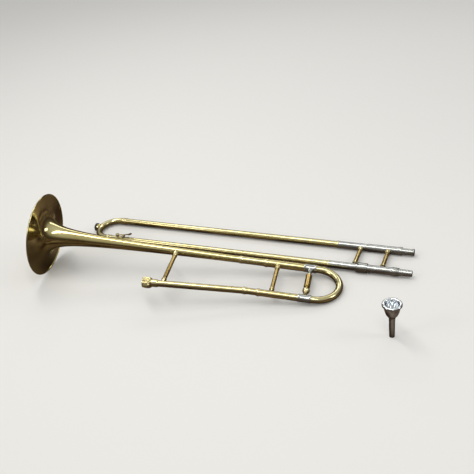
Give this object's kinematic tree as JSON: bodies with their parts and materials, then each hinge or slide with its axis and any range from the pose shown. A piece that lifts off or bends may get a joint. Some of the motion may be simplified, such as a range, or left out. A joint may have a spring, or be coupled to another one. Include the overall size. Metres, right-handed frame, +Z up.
{
  "type": "tenor trombone",
  "caption": "Tenor trombone taken apart and laid down: bell section with tuning slide, telescoping hand slide and a mouthpiece on its shank.",
  "frame": {"origin": "centre of the bounding box's base, on the surface that the instrument lies on", "axes": "+X along the tubes from the bell rim and slide bumper towards the tuning bow and the player's end, +Y from the bell section towards the hand slide, +Z up from the surface"},
  "size_m": [0.8578, 0.3153, 0.1891],
  "materials": {
    "lacquered_brass": "polished brass under clear lacquer",
    "nickel_silver": "polished nickel silver",
    "chromed_tube": "hard chrome, polished",
    "silver_plate": "polished silver plate",
    "cork": "matte cork",
    "black_rubber": "matte",
    "spring_steel": "satin"
  },
  "bodies": {
    "bell_section": {"bell": "lacquered_brass", "bell_rim_wire": "lacquered_brass", "bell_stem_ferrule": "lacquered_brass", "bell_link_tube": "lacquered_brass", "bell_outer_leg": "lacquered_brass", "neckpipe": "lacquered_brass", "neck_receiver": "lacquered_brass", "neck_ferrule": "lacquered_brass", "neck_link_tube": "lacquered_brass", "neck_outer_leg": "lacquered_brass", "outer_leg_rings": "lacquered_brass", "front_brace_bell_foot": "lacquered_brass", "front_brace_neck_foot": "lacquered_brass", "front_brace_tube": "lacquered_brass", "rear_brace_bell_foot": "lacquered_brass", "rear_brace_neck_foot": "lacquered_brass", "rear_brace_tube": "lacquered_brass"},
    "lock_nut": {"bell_lock_nut": "lacquered_brass"},
    "tuning_slide": {"tuning_bow": "lacquered_brass", "bell_bow_ferrule": "nickel_silver", "neck_bow_ferrule": "nickel_silver", "bell_inner_leg": "nickel_silver", "neck_inner_leg": "nickel_silver", "tuning_brace_bell_foot": "nickel_silver", "tuning_brace_barrel": "lacquered_brass", "tuning_brace_ball": "lacquered_brass", "tuning_brace_neck_foot": "lacquered_brass"},
    "inner_slide": {"tenon_inner_tube": "chromed_tube", "mouth_inner_tube": "chromed_tube", "tenon_cork_barrel": "nickel_silver", "mouth_cork_barrel": "nickel_silver", "barrel_corks": "cork", "barrel_end_rings": "nickel_silver", "inner_brace_feet": "lacquered_brass", "inner_brace_tube": "lacquered_brass", "leadpipe": "lacquered_brass", "mouthpiece_receiver": "nickel_silver", "slide_tenon": "nickel_silver", "tenon_thread_collar": "nickel_silver"},
    "slide_lock": {"slide_lock_ring": "nickel_silver"},
    "outer_slide": {"tenon_outer_tube": "lacquered_brass", "mouth_outer_tube": "lacquered_brass", "tenon_oversleeve": "lacquered_brass", "mouth_oversleeve": "lacquered_brass", "oversleeve_rings": "lacquered_brass", "slide_lock_lug": "nickel_silver", "outer_brace_feet": "lacquered_brass", "outer_brace_tube": "lacquered_brass", "slide_crook": "lacquered_brass", "crook_ferrules": "lacquered_brass", "bumper_holder": "lacquered_brass", "slide_bumper": "black_rubber", "water_key_spout": "lacquered_brass", "water_key_saddle": "lacquered_brass", "water_key_pivot": "spring_steel", "water_key_spring": "spring_steel"},
    "water_key": {"water_key_lever": "lacquered_brass", "water_key_cork": "cork"},
    "mouthpiece": {"mouthpiece": "silver_plate"}
  },
  "joints": [
    {"name": "lock_nut_turn", "type": "hinge", "parent": "bell_section", "child": "lock_nut", "pos_m": [-0.12069, -0.13941, 0.05573], "axis": [0.9663, 0.2289, -0.1181], "continuous": true},
    {"name": "tuning_slide_pull", "type": "slide", "parent": "bell_section", "child": "tuning_slide", "axis": [0.9809, 0.1518, -0.1219], "range_m": [0, 0.06]},
    {"name": "slide_section_lift", "type": "slide", "parent": "bell_section", "child": "inner_slide", "axis": [0, 0, 1], "range_m": [0, 0.25]},
    {"name": "slide_lock_turn", "type": "hinge", "parent": "inner_slide", "child": "slide_lock", "pos_m": [0.29495, 0.06627, 0.011], "axis": [-1, 0, 0], "range_deg": [0, 35]},
    {"name": "hand_slide", "type": "slide", "parent": "inner_slide", "child": "outer_slide", "axis": [-1, 0, 0], "range_m": [0, 0.6]},
    {"name": "water_key_press", "type": "hinge", "parent": "outer_slide", "child": "water_key", "pos_m": [-0.28765, 0.06648, 0.02185], "axis": [0, 0.9998, -0.0195], "range_deg": [0, 15], "stiffness_Nm_per_rad": 0.03, "springref_deg": -17.19},
    {"name": "mouthpiece_lift", "type": "slide", "parent": "bell_section", "child": "mouthpiece", "axis": [0, 0, 1], "range_m": [0, 0.25]}
  ]
}
